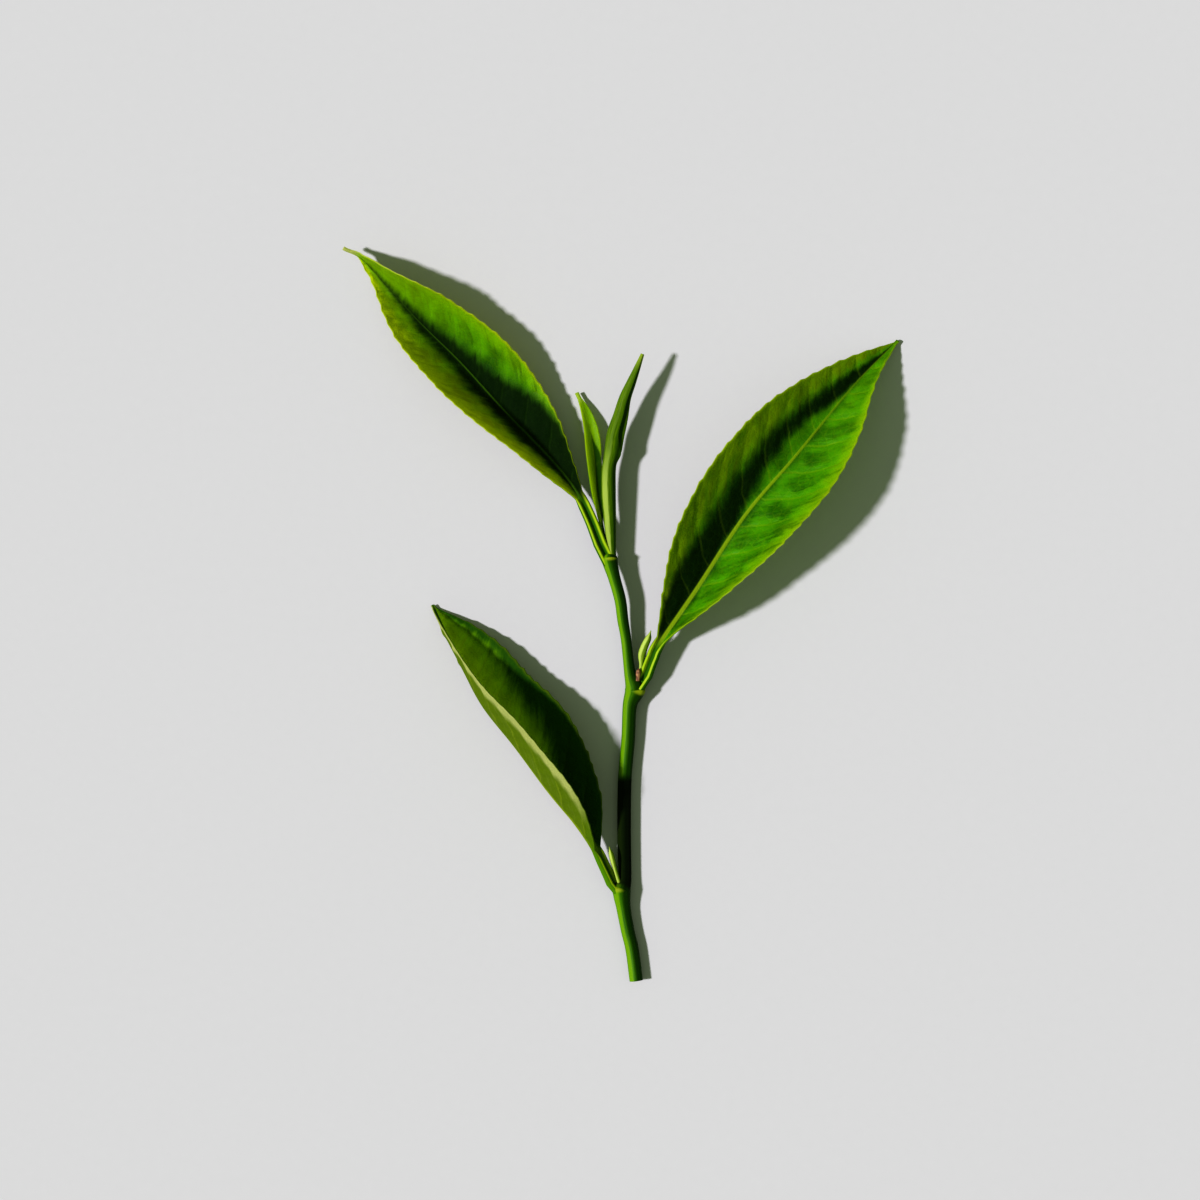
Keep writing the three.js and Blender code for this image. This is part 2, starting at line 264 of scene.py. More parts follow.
LEAF_YOUNG = {
    "name": "leaf_young_blade",
    "node": "leaf_young",
    "midrib": [
        (-2.75, 12.0, 1.85),
        (-3.3, 15.0, 1.8),
        (-3.8, 17.8, 1.8),
        (-4.0, 20.8, 1.75),
        (-4.2, 23.5, 1.65),
        (-4.58, 26.5, 1.5),
        (-5.05, 28.7, 1.35),
        (-5.8, 31.2, 1.1),
        (-6.7, 33.2, 0.9),
    ],
    "foot": (-1.9, 8.8, 2.2),
    "stalk": 0.05,
    "wing": 0.0,
    "radius": (0.34, 0.3),
    "left": {"width": (0.8, 1.2, 1.5, 1.6, 1.5, 1.1, 0.7), "inner": (60, 34, 46), "outer": (64, 40, 50)},
    "right": {
        "width": (0.8, 0.95, 1.1, 1.25, 1.4, 1.25, 0.75),
        "inner": (40, 44, 46),
        "outer": (46, 50, 50),
    },
    "roll": (-38, -22, -36),
    "wave": (0, 1),
    "painted_shade_left": [(0.0, 0.0, 0.0), (1.0, 0.0, 0.0)],
    "painted_shade_right": [(0.0, 0.0, 1.2), (0.5, 0.0, 1.1), (0.62, 0.0, 0.3), (0.7, 0.0, 0.0), (1.0, 0.0, 0.0)],
    "shade": (0.0, 0.1),
    "soft": 0.12,
    "slim_foot": 0.0,
    "slim_tip": 0.0,
}

# Round pieces: places along the middle line, each with its radius.
STEM = [
    (2.2, -54.8, 1.0, 0.98),
    (1.6, -50.2, 1.0, 0.98),
    (0.9, -47.2, 1.02, 0.98),
    (0.3, -43.9, 1.1, 1.05),
    (0.05, -41.3, 1.35, 1.3),
    (0.45, -39.1, 1.15, 1.02),
    (0.4, -32.2, 1.15, 1.0),
    (0.5, -24.8, 1.15, 1.0),
    (1.0, -18.8, 1.2, 1.0),
    (1.25, -13.7, 1.4, 1.05),
    (1.95, -11.2, 1.65, 1.4),
    (1.25, -8.6, 1.7, 0.85),
    (0.7, -3.8, 1.9, 0.77),
    (0.2, -0.8, 2.3, 0.82),
    (-0.2, 2.2, 2.6, 0.85),
    (-1.1, 5.5, 2.7, 0.9),
    (-1.7, 7.8, 2.7, 1.12),
    (-1.75, 9.1, 2.7, 1.05),
]

BUD_TERMINAL = [
    (-1.5, 9.6, 2.7, 0.72),
    (-1.75, 14.0, 2.8, 1.0),
    (-1.95, 18.4, 3.0, 1.18),
    (-1.9, 21.8, 3.2, 1.16),
    (-1.4, 24.4, 3.4, 1.12),
    (-1.0, 26.9, 3.6, 1.12),
    (-0.2, 29.6, 3.9, 0.98),
    (0.5, 32.1, 4.3, 0.85),
    (1.4, 34.3, 4.6, 0.7),
    (2.2, 36.3, 4.9, 0.5),
    (3.1, 38.7, 5.1, 0.3),
]

BUD_AXIL_RIGHT = [
    (2.95, -7.4, 2.5, 0.32),
    (3.05, -6.0, 2.7, 0.58),
    (3.45, -4.7, 3.0, 0.58),
    (4.0, -3.5, 3.3, 0.48),
    (4.35, -2.4, 3.5, 0.3),
]

BUD_AXIL_LOWER = [
    (-0.95, -38.0, 2.5, 0.3),
    (-1.35, -36.4, 2.8, 0.42),
    (-1.85, -34.6, 3.0, 0.3),
]

# How the small lower bud grows out of its axil.
BUD_AXIL_LOWER_FOOT = (-0.35, -40.0, 1.9, 0.3)

SCALE_AXIL = [
    (2.45, -9.6, 2.85, 0.3),
    (2.5, -8.8, 2.95, 0.36),
    (2.55, -8.0, 3.05, 0.3),
]

# The stem's mesh, and the rings of its cut end as shares of its radius.
STEM_SIDES = 48
STEM_STEPS = 560
CUT_RINGS = np.array([0.2, 0.55, 0.86, 0.96])
CUT_EDGE = 1.05

# Ledges of the stem where a leaf sits: place along +Y in millimetres, side it faces, height.
RIGHT = math.pi
LEFT = 0.0
TOP = math.pi / 2
LEDGES = [(-41.2, LEFT + 0.9, 0.22), (-11.4, RIGHT - 0.75, 0.26), (8.3, TOP + 0.2, 0.22)]

# In millimetres: how far a ledge reaches up and down the stem, how it slants, and the stem's rounded top.
LEDGE_ABOVE = 0.12
LEDGE_BELOW = 0.5
LEDGE_SLANT = 0.35
TOP_ROUND = 0.6

# Painted shadow of the lower leaf on the stem: its stretch along +Y in millimetres, and how softly its ends
# fade.
SHADED_STRETCH = (-40.8, -24.3)
SHADED_SOFT = (0.6, 0.8)

# The free edge of the leaf that wraps a bud: its height as a share of the radius, and the angle it lies at.
BUD_STEP = 0.3
SMALL_BUD_STEP = 0.16
SEAM_LOW = math.radians(176)
SEAM_HIGH = math.radians(122)

# The flare of the margin below that edge, and where on the bud it opens and ends.
BUD_FLARE = 0.42
FLARE_TURN = math.radians(168)
BUD_OPENS = (0.44, 0.52)
FLARE_ENDS = (0.62, 0.86)

# Skins: how waxy they are, and the height of their bumps and the depth of their glow in metres.
WAX_IOR = 1.42
LEAF_GLOSS = 0.16
SHOOT_GLOSS = 0.08
LEAF_BUMP = 0.00018
SHOOT_BUMP = 0.0001
GLOW_DEPTH = (0.0005, 0.0008, 0.0002)

# Grain of the skins and of the floor, for each metre.
SPECK_GRAIN = 2600.0
PITH_GRAIN = 3000.0
SCALE_GRAIN = 1800.0
FLOOR_GRAIN = 700.0

# Floor and light, in metres and radians: a low sun from the left, and a weak even fill.
FLOOR_WIDTH = 6.0
SUN_ELEVATION = math.radians(46)
SUN_TURN = math.radians(-4)
SUN_STRENGTH = 3.785
SUN_SOFTNESS = math.radians(5)
SUN_COLOUR = (0.95, 0.894, 1.0)
FILL_COLOUR = (0.82, 1.0, 0.66)
FILL_STRENGTH = 0.27

# Camera: straight above, as in the photo, with 180 mm of floor across; its place is in millimetres.
CAMERA_HEIGHT = 0.5
PICTURE_WIDTH = 0.18
CAMERA_PLACE = (-3.225, 2.175)
SENSOR_WIDTH = 36


def along(values, u):
    """A smooth value along a piece from those at its foot, middle and tip."""
    foot, middle, tip = values
    return foot * (1 - u) * (1 - 2 * u) + middle * 4 * u * (1 - u) + tip * u * (2 * u - 1)


def smoothstep(low, high, x):
    """A soft step of x: 0 up to low, 1 from high on."""
    f = np.clip((x - low) / (high - low), 0, 1)
    return f * f * (3 - 2 * f)


def through(a, b, c, d, f):
    """The smooth curve between b and c at share f, with a and d as the neighbours."""
    first = (c - a) * f
    second = (2 * a - 5 * b + 4 * c - d) * f**2
    third = (3 * b - a - 3 * c + d) * f**3
    return 0.5 * (2 * b + first + second + third)


def width_at(steps, u):
    """A half width along a blade from those at even steps; it is nothing at both ends."""
    values = np.array([-steps[0], 0, *steps, 0, -steps[-1]], float)
    place = u * (len(steps) + 1)
    k = np.minimum(place.astype(int), len(steps))
    return through(values[k], values[k + 1], values[k + 2], values[k + 3], place - k)


class Curve:
    """A smooth curve through given places, read by share of its length."""

    def __init__(self, places, samples=40):
        p = np.array(places, float)
        p = np.vstack([2 * p[0] - p[1], p, 2 * p[-1] - p[-2]])
        f = np.arange(samples)[:, None] / samples
        spans = [through(p[i - 1], p[i], p[i + 1], p[i + 2], f) for i in range(1, len(p) - 2)]
        self.points = np.vstack([*spans, p[-2:-1]])
        steps = np.linalg.norm(np.diff(self.points[:, :3], axis=0), axis=1)
        self.run = np.concatenate([[0], np.cumsum(steps)])
        self.length = self.run[-1]

    def at(self, shares):
        """The curve's values at shares of its length, one row for each share."""
        want = np.clip(shares, 0, 1) * self.length
        columns = self.points.shape[1]
        return np.stack([np.interp(want, self.run, self.points[:, k]) for k in range(columns)], 1)

    def frames(self, shares, roll):
        """Side and up directions square to the curve, turned about it by roll."""
        step = 0.004
        ahead = self.at(shares + step)[:, :3] - self.at(shares - step)[:, :3]
        ahead /= np.linalg.norm(ahead, axis=1)[:, None]
        flat_side = np.cross(ahead, [0, 0, 1])
        flat_side /= np.linalg.norm(flat_side, axis=1)[:, None]
        flat_up = np.cross(flat_side, ahead)
        cos = np.cos(roll)[:, None]
        sin = np.sin(roll)[:, None]
        return flat_side * cos + flat_up * sin, flat_up * cos - flat_side * sin


def round_rings(places, sides, steps, reshape=None):
    """Points of a round piece as [ring, side, xyz]; reshape changes the radius by share and angle."""
    curve = Curve(places)
    shares = np.linspace(0, 1, steps + 1)
    side, up = curve.frames(shares, np.zeros(steps + 1))
    values = curve.at(shares)
    angle = 2 * math.pi * np.arange(sides) / sides
    radius = values[:, 3:4] * np.ones(sides)
    if reshape:
        radius = radius * reshape(shares[:, None], angle[None, :])
    across = -radius * np.cos(angle)
    rise = radius * np.sin(angle)
    return values[:, None, :3] + side[:, None] * across[..., None] + up[:, None] * rise[..., None]


def drawing_shift():
    """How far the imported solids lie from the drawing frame, in millimetres, read from the stem."""
    drawn = round_rings(STEM, 12, 60).reshape(-1, 3)
    packed = np.array(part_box("stem")[0]) / MM
    return packed - drawn.min(0)


SHIFT = drawing_shift()
STEM_CURVE = Curve(STEM)


def make_object(name, points, faces, attributes, material, nodes):
    """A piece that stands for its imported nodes; points are in drawing millimetres."""
    mesh = bpy.data.meshes.new(name)
    mesh.from_pydata(((points + SHIFT) * MM).tolist(), [], faces)
    for label, values in attributes.items():
        kind = "FLOAT_VECTOR" if values.ndim == 2 else "FLOAT"
        field = "vector" if values.ndim == 2 else "value"
        attribute = mesh.attributes.new(label, kind, "POINT")
        attribute.data.foreach_set(field, np.ascontiguousarray(values, np.float32).ravel())
    mesh.shade_smooth()
    mesh.materials.append(material)
    piece = bpy.data.objects.new(name, mesh)
    bpy.context.scene.collection.objects.link(piece)
    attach(piece, "root")
    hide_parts(*nodes)


def ring_faces(rings, count):
    """Faces of a closed tube of rings, with its two ends closed."""
    faces = []
    for ring in range(rings - 1):
        for k in range(count):
            after = (k + 1) % count
            here = ring * count
            there = here + count
            faces.append((here + k, here + after, there + after, there + k))
    faces.append(tuple(range(count - 1, -1, -1)))
    faces.append(tuple(range((rings - 1) * count, rings * count)))
    return faces


def tooth_offset(u, teeth, turn):
    """How far the margin stands out: each tooth rises slowly towards the tip and drops back quickly."""
    phase = (u * teeth) % 1
    rise = (phase / TOOTH_POINT) ** TOOTH_CURVE
    drop = (1 - phase) / (1 - TOOTH_POINT)
    index = np.floor(u * teeth)
    fade = np.clip(np.minimum(index, teeth - 1 - index) / TEETH_TO_FADE, 0, 1)
    uneven = 1 - TOOTH_UNEVEN + TOOTH_UNEVEN * np.sin(index * 2.4 + turn)
    return TOOTH_DEPTH * np.minimum(rise, drop) * fade * uneven


def folded_halves(leaf, rows):
    """Slopes beside midrib and margin in radians, half width and tilt of each half.

    Where the blade is too narrow for its fold, the fold opens.
    """
    u = rows.u
    slim_foot = 1 - leaf["slim_foot"] * np.exp(-((u / SLIM_FOOT_END) ** 2))
    slim_tip = 1 - leaf["slim_tip"] * smoothstep(*SLIM_TIP, u)
    stalk_width = rows.rib + leaf["wing"] * (1 - smoothstep(0, WING_END, u))
    sides = []
    for half in (leaf["left"], leaf["right"]):
        inner = np.radians(along(half["inner"], u))
        outer = np.radians(along(half["outer"], u))
        width = width_at(half["width"], u) * (slim_foot * slim_tip) + rows.tooth
        sides.append([inner, outer, np.maximum(width, stalk_width)])
    fold = (sides[0][0] + sides[1][0]) / 2
    room = FOLD_SHARE * np.minimum(sides[0][2], sides[1][2])
    length = np.minimum(np.maximum(RIB_REACH * rows.rib, FOLD_UNIT * np.tan(fold)), room)
    opened = np.minimum(1, np.arctan(length / FOLD_UNIT) / fold)
    tilt = (sides[1][0] - sides[0][0]) / 2 * opened
    left = (sides[0][0] * opened, sides[0][1] * opened, sides[0][2], -tilt)
    right = (sides[1][0] * opened, sides[1][1] * opened, sides[1][2], tilt)
    return left, right


def half_section(half, steps):
    """Distance across, rise, slope and flat distance of a half as [row, column], its fold rounded."""
    inner, outer, width, tilt = half
    flat = width[:, None] * steps[None, :]
    slope = inner[:, None] + (outer - inner)[:, None] * steps[None, :]
    turned = np.tanh(flat / FOLD_RADIUS)
    slope = tilt[:, None] + (slope - tilt[:, None]) * turned
    step = np.diff(flat, axis=1)
    across = np.cumsum(step * (np.cos(slope[:, 1:]) + np.cos(slope[:, :-1])) / 2, axis=1)
    rise = np.cumsum(step * (np.sin(slope[:, 1:]) + np.sin(slope[:, :-1])) / 2, axis=1)
    start = np.zeros((len(flat), 1))
    return np.hstack([start, across]), np.hstack([start, rise]), slope, flat


def vein_phase(distance, across):
    """Counts side veins: whole numbers are veins, which leave the midrib forwards and curve to the tip."""
    a = np.abs(across)
    forward = VEIN_LEAN * a + VEIN_BEND * a**2
    return (distance - forward) / VEIN_PITCH + np.where(across < 0, VEIN_LEFT_SHIFT, 0)


def leaf_rows(leaf, toothed):
    """Where the rows of a leaf lie, on its foot inside the stem, its stalk and its blade, with its rib."""
    curve = Curve(leaf["midrib"])
    stalk = leaf["stalk"]
    teeth = round(curve.length * (1 - stalk) / TOOTH_PITCH)
    stalk_shares = np.linspace(0, stalk, STALK_ROWS, endpoint=False)
    shares = np.concatenate([stalk_shares, np.linspace(stalk, 1, teeth * ROWS_PER_TOOTH + 1)])
    u = np.clip((shares - stalk) / (1 - stalk), 0, 1)
    side, up = curve.frames(shares, np.radians(along(leaf["roll"], u)))
    middle = curve.at(shares)
    foot_share = np.linspace(0, 1, FOOT_ROWS, endpoint=False)
    foot_middle = np.array(leaf["foot"]) * (1 - foot_share[:, None]) + middle[0] * foot_share[:, None]
    foot_length = math.dist(leaf["foot"], leaf["midrib"][0])
    rows = SimpleNamespace(
        middle=np.vstack([foot_middle, middle]),
        side=np.vstack([np.repeat(side[:1], FOOT_ROWS, 0), side]),
        up=np.vstack([np.repeat(up[:1], FOOT_ROWS, 0), up]),
        distance=np.concatenate([foot_length * (foot_share - 1), shares * curve.length]),
        u=np.concatenate([np.zeros(FOOT_ROWS), u]),
    )
    share = np.concatenate([np.zeros(FOOT_ROWS), shares])
    foot_rib, tip_rib = leaf["radius"]
    rows.rib = (foot_rib + (tip_rib - foot_rib) * share**RIB_TAPER) * RIB_SHARE
    rows.bare = 1 - smoothstep(0.0, BARE_END, rows.u)
    rows.tooth = tooth_offset(rows.u, teeth, curve.length) if toothed else 0 * rows.u
    return rows


def skin_distance(rows, t, flat, groove):
    """How far the upper and the lower skin lie from the middle of the blade, down one column at t."""
    rib = rows.rib
    bare = rows.bare
    blade = EDGE_THICKNESS / 2 if t > EDGE_START else BLADE_THICKNESS * (1 - EDGE_THINNING * t) / 2
    stalk_above = rib * (STALK_CHANNEL + STALK_WALL * t**2) * math.sqrt(max(0, 1 - t**8))
    stalk_below = rib * math.sqrt(max(0, 1 - t * t))
    rib_below = rib * np.sqrt(1 - np.clip(flat / (rib * RIB_REACH), 0, 1) ** 2) * RIB_DEPTH
    crest = np.exp(-((flat / CREST_WIDTH) ** 2))
    beside = np.exp(-(((flat - VALLEY_PLACE) / VALLEY_WIDTH) ** 2))
    ridge = RIDGE_HEIGHT * (crest - beside) * (1 - RIDGE_FADE * rows.u)
    above = (blade + ridge - groove) * (1 - bare) + stalk_above * bare
    below = np.maximum(blade + groove * VEIN_BELOW, rib_below) * (1 - bare) + stalk_below * bare
    return above, below


def leaf_column(leaf, rows, t, sign, section, toothed):
    """Upper and lower points of one column, at share t of the half width; sign is -1 on the left."""
    across, rise, slope, flat = section
    wave = wave_at(leaf["wave"], rows.u, t, sign < 0)
    puff, groove = blade_relief(rows.distance, sign * flat, t, rows.u, toothed)
    normal = rows.up * np.cos(slope)[:, None] - rows.side * (sign * np.sin(slope))[:, None]
    point = rows.middle + rows.side * (sign * across)[:, None] + rows.up * (rise + wave)[:, None]
    point = point + normal * (puff * (1 - rows.bare))[:, None]
    above, below = skin_distance(rows, t, flat, groove)
    return point + normal * above[:, None], point - normal * below[:, None]


def leaf_points(leaf, columns, toothed):
    """The points of a leaf, ring by ring, with what its material needs to know at each of them."""
    rows = leaf_rows(leaf, toothed)
    steps = np.linspace(0, 1, columns + 1) ** COLUMN_SPREAD
    steps = np.unique(np.append(steps, EXTRA_COLUMNS))
    zones = (leaf["painted_shade_left"], leaf["painted_shade_right"])
    top = []
    under = []
    facts = []
    painted_shading = []
    for sign, half, zone, least in zip((-1, 1), folded_halves(leaf, rows), zones, leaf["shade"]):
        section = half_section(half, steps)
        order = range(len(steps) - 1, 0, -1) if sign < 0 else range(len(steps))
        for k in order:
            t = steps[k]
            column = [values[:, k] for values in section]
            upper, lower = leaf_column(leaf, rows, t, sign, column, toothed)
            top.append(upper)
            under.append(lower)
            facts.append(np.stack([rows.distance, sign * column[3], np.full(len(rows.u), t)], 1))
            # How much shade is painted at each point of this column.
            painted_shading.append(np.maximum(painted_shade_zone(zone, rows.u, t, leaf["soft"]), least))
    points = np.stack(top + under[::-1], 1)
    count = points.shape[1]
    is_top = np.repeat([1.0, 0.0], count // 2)[None, :] * np.ones((len(rows.u), 1))
    return points, {
        "blade": np.stack(facts + facts[::-1], 1).reshape(-1, 3),
        "upper": is_top.ravel(),
        "bare": np.repeat(rows.bare, count),
        "tip": np.repeat(rows.u, count),
        "painted_shade_depth": np.stack(painted_shading + painted_shading[::-1], 1).ravel(),
        "tooth": np.repeat(rows.tooth / TOOTH_DEPTH, count),
    }


def painted_shade_zone(zone, u, t, soft):
    """How much shade is painted: 1 between the two shares t that the zone gives along the leaf."""
    place, start, end = np.array(zone, float).T
    low = np.interp(u, place, start)
    high = np.interp(u, place, end)
    after = np.where(low > 0, smoothstep(-soft, soft, t - low), 1)
    return after * (1 - smoothstep(*PAINTED_SHADE_FADE, t - high))


def wave_at(wave, u, t, is_left):
    """How far the wave of a margin lifts a point at share t of the half width."""
    height, count = wave
    turn = 2 * math.pi * (count * u + (0.5 if is_left else 0))
    return height * t**2 * np.sin(math.pi * u) * np.sin(turn) * np.clip(u * WAVE_RISE, 0, 1)


def blade_relief(distance, across, t, u, toothed):
    """How far the blade puffs up between side veins, and how deep the veins are drawn in."""
    if not toothed:
        return np.zeros(len(u)), np.zeros(len(u))
    off = (0.5 - np.abs(vein_phase(distance, across) % 1 - 0.5)) * VEIN_PITCH
    reach = smoothstep(*RELIEF_INNER, t) * (1 - smoothstep(*RELIEF_OUTER, t))
    reach = reach * smoothstep(*RELIEF_FOOT, u) * (1 - smoothstep(*RELIEF_TIP, u))
    puff = PUFF_HEIGHT * (np.clip(off / (VEIN_PITCH / 2), 0, 1) ** PUFF_ROUNDNESS - 0.5)
    ripple = np.sin(distance * 1.9 + across * 1.3) * np.sin(across * 2.3 - distance * 0.7 + 1.1)
    groove = VEIN_GROOVE * reach * np.exp(-((off / VEIN_HALF_WIDTH) ** 2))
    return (puff + RIPPLE_HEIGHT * ripple) * reach, groove


def lift_to_floor(points):
    """Keeps every point on or above the floor."""
    points[..., 2] = np.maximum(points[..., 2], FLOOR_GAP - SHIFT[2])
    return points


def make_leaf(leaf, material, columns=24, toothed=True):
    """One leaf with its stalk; columns is the number of steps across each half."""
    points, facts = leaf_points(leaf, columns, toothed)
    rings, count = points.shape[:2]
    points = lift_to_floor(points).reshape(-1, 3)
    make_object(leaf["name"], points, ring_faces(rings, count), facts, material, [leaf["node"]])


def unrolled(angles):
    """Angles as shares of a turn, counted so that the jump lies underneath."""
    return (angles + 0.25) % 1 - 0.25


def lengthened(places, extra):
    """The places of a round piece with one more, further back by extra, inside what carries it."""
    first = np.array(places[0][:3])
    back = first - np.array(places[1][:3])
    foot = first + back / np.linalg.norm(back) * extra
    return [(*foot, places[0][3]), *places]


def make_round(name, places, sides, steps, material, node, reshape):
    """A bud or a scale, round a middle line, with a given number of sides and steps."""
    points = lift_to_floor(round_rings(places, sides, steps, reshape)).reshape(-1, 3)
    facts = {
        "share": np.repeat(np.linspace(0, 1, steps + 1), sides),
        "angle": np.tile(unrolled(np.arange(sides) / sides), steps + 1),
    }
    make_object(name, points, ring_faces(steps + 1, sides), facts, material, [node])


def make_stem(material):
    """The stem, with the ledges at its nodes and a cut lower end that shows its pith."""
    sides = STEM_SIDES
    shares = np.linspace(0, 1, STEM_STEPS + 1)
    turns = np.arange(sides) / sides
    points = round_rings(STEM, sides, STEM_STEPS, stem_radius)
    ledge = ledge_at(shares[:, None], 2 * math.pi * turns[None, :])
    centre = points[0].mean(0)
    cap = centre + (points[0] - centre) * CUT_RINGS[:, None, None]
    points = np.concatenate([cap, points])
    rings = len(points)
    height = points[:, :, 1].mean(1)
    # Where the shadow of the lower leaf is painted on the stem.
    start, end = SHADED_STRETCH
    at_start, at_end = SHADED_SOFT
    shaded = smoothstep(start - at_start, start + at_start, height)
    shaded = shaded * (1 - smoothstep(end - at_end, end + at_end, height))
    facts = {
        "shaded": np.repeat(shaded, sides),
        "share": np.repeat(np.concatenate([np.zeros(len(cap)), shares]), sides),
        "angle": np.tile(unrolled(turns), rings),
        "ledge": np.concatenate([np.zeros(len(cap) * sides), ledge.ravel()]),
        "cut": np.repeat(np.concatenate([CUT_EDGE - CUT_RINGS, np.zeros(STEM_STEPS + 1)]), sides),
    }
    points = lift_to_floor(points).reshape(-1, 3)
    make_object("stem_skin", points, ring_faces(rings, sides), facts, material, ["stem"])


class Graph:
    """A material's node graph, built by short calls."""

    def __init__(self, name):
        self.material = bpy.data.materials.new(name)
        self.material.use_nodes = True
        self.tree = self.material.node_tree
        self.tree.nodes.clear()
        self.output = self.tree.nodes.new("ShaderNodeOutputMaterial")

    def node(self, kind, inputs=None, **settings):
        """A new node of the kind, with values or links for its inputs."""
        made = self.tree.nodes.new("ShaderNode" + kind)
        for key, value in settings.items():
            setattr(made, key, value)
        for key, value in (inputs or {}).items():
            self.put(made.inputs[key], value)
        return made

    def put(self, socket, value):
        """Links a socket to an output, or sets it to a plain value or colour."""
        if isinstance(value, bpy.types.NodeSocket):
            self.tree.links.new(value, socket)
        elif isinstance(value, tuple) and len(value) == 3 and socket.type == "RGBA":
            socket.default_value = (*value, 1)
        else:
            socket.default_value = value

    def math(self, operation, a, b=0.0, clamp=False):
        return self.node("Math", {0: a, 1: b}, operation=operation, use_clamp=clamp).outputs[0]

    def plus(self, a, b):
        return self.math("ADD", a, b)

    def minus(self, a, b):
        return self.math("SUBTRACT", a, b)

    def times(self, a, b):
        return self.math("MULTIPLY", a, b)

    def around(self, pattern, strength):
        """A pattern of about 0.5 as a change of up to half the strength either way."""
        return self.times(self.minus(pattern, 0.5), strength)

    def ramp(self, value, low, high, out_low=0.0, out_high=1.0):
        """A smooth step of value from low to high."""
        inputs = {"Value": value, "From Min": low, "From Max": high, "To Min": out_low, "To Max": out_high}
        return self.node("MapRange", inputs, interpolation_type="SMOOTHSTEP").outputs[0]

    def mix(self, share, a, b):
        """Colour a where share is 0 and colour b where it is 1."""
        made = self.node("Mix", data_type="RGBA")
        self.put(made.inputs[0], share)
        self.put(made.inputs[6], a)
        self.put(made.inputs[7], b)
        return made.outputs[2]

    def combine(self, x, y):
        return self.node("CombineXYZ", {0: x, 1: y, 2: 0.0}).outputs[0]

    def attribute(self, name):
        return self.node("Attribute", attribute_name=name).outputs["Fac"]

    def place(self):
        return self.node("TexCoord").outputs["Object"]

    def noise(self, vector, scale, detail=3.0, roughness=0.5):
        inputs = {"Vector": vector, "Scale": scale, "Detail": detail, "Roughness": roughness}
        return self.node("TexNoise", inputs).outputs[0]

    def bump(self, height, strength, distance):
        return self.node("Bump", {"Height": height, "Strength": strength, "Distance": distance}).outputs[0]

    def finish(self, shader):
        self.tree.links.new(shader, self.output.inputs["Surface"])
        return self.material


def leaf_facts(g, look):
    """What a leaf's material knows at each point: where it lies, and patterns for several colours."""
    blade = g.node("Attribute", attribute_name="blade").outputs["Vector"]
    parts = g.node("SeparateXYZ", {0: blade})
    leaf = SimpleNamespace(distance=parts.outputs[0], across=parts.outputs[1], t=parts.outputs[2])
    for name in ("upper", "bare", "tip", "tooth"):
        setattr(leaf, name, g.attribute(name))
    leaf.a = g.math("ABSOLUTE", leaf.across)
    leaf.is_left = g.math("LESS_THAN", leaf.across, 0.0)
    leaf.flat = g.combine(leaf.distance, leaf.across)
    leaf.cells = g.noise(leaf.flat, 3.2, 2.0)
    net = {"Vector": leaf.flat, "Scale": 0.85, "Randomness": 0.9}
    to_edge = g.node("TexVoronoi", net, feature="DISTANCE_TO_EDGE").outputs[0]
    leaf.fine_vein = g.ramp(to_edge, 0.1, 0.0)
    rib_edge = g.times(g.minus(1.25, leaf.tip), look["rib_width"])
    leaf.midrib = g.ramp(g.math("DIVIDE", leaf.a, rib_edge), 1.3, 0.6)
    add_side_veins(g, leaf)
    # Painted shade, streaked, for the shadow that a raised half of the leaf casts on the blade.
    leaf.deep = g.ramp(g.plus(g.attribute("painted_shade_depth"), g.around(leaf.streak, 0.9)), 0.08, 0.84)
    return leaf


def add_side_veins(g, leaf):
    """Side veins as a soft line, streaks that run along them, and bands that are lightest on them."""
    bend = g.times(g.times(leaf.a, leaf.a), VEIN_BEND)
    forward = g.plus(g.times(leaf.a, VEIN_LEAN), bend)
    wobble = g.around(g.noise(leaf.flat, 0.35), 1.3)
    place = g.plus(g.minus(leaf.distance, forward), wobble)
    phase = g.plus(g.math("DIVIDE", place, VEIN_PITCH), g.times(leaf.is_left, VEIN_LEFT_SHIFT))
    from_middle = g.math("ABSOLUTE", g.minus(g.math("FRACT", phase), 0.5))
    off = g.times(g.minus(0.5, from_middle), VEIN_PITCH)
    leaf.side_vein = g.times(g.ramp(off, 0.3, 0.03), g.ramp(leaf.t, 0.95, 0.5))
    leaf.band = g.ramp(off, 0.0, VEIN_PITCH / 2, 1.0, -1.0)
    lengthwise = g.combine(g.times(phase, 3.2), g.times(leaf.across, 0.16))
    leaf.streak = g.noise(lengthwise, 1.6, 5.0, 0.62)


def blade_green(g, leaf, look):
    """The upper side's green: blotches, a lighter tip, an outer zone with painted glow, and painted shade."""
    broad = g.noise(leaf.flat, 0.24)
    blotch = g.plus(g.times(broad, 0.5), g.times(leaf.streak, 0.5))
    blotch = g.plus(blotch, g.times(leaf.band, 0.05))
    green = g.mix(g.ramp(blotch, 0.36, 0.6), look["middle"], look["bright"])
    toward_tip = g.times(g.ramp(leaf.tip, 0.5, 0.95), look["tip_share"])
    green = g.mix(toward_tip, green, look["toward_tip"])
    green = g.mix(g.times(g.ramp(leaf.cells, 0.4, 0.75), 0.2), green, look["bright"])
    # A lighter zone towards the margin; on the left half it is wider and its colour is painted glow, for
    # light that shines through the raised half.
    outward = g.plus(g.plus(leaf.t, g.times(leaf.streak, 0.5)), g.times(leaf.is_left, 0.24))
    outer = g.times(g.ramp(outward, 0.88, 1.28), g.ramp(blotch, 0.36, 0.52, 0.35, 1.0))
    outer_green = g.mix(leaf.is_left, look["outer"], look["painted_glow_left"])
    green = g.mix(g.times(outer, look["outer_share"]), green, outer_green)
    return g.mix(g.times(leaf.deep, 0.97), green, look["deep"])


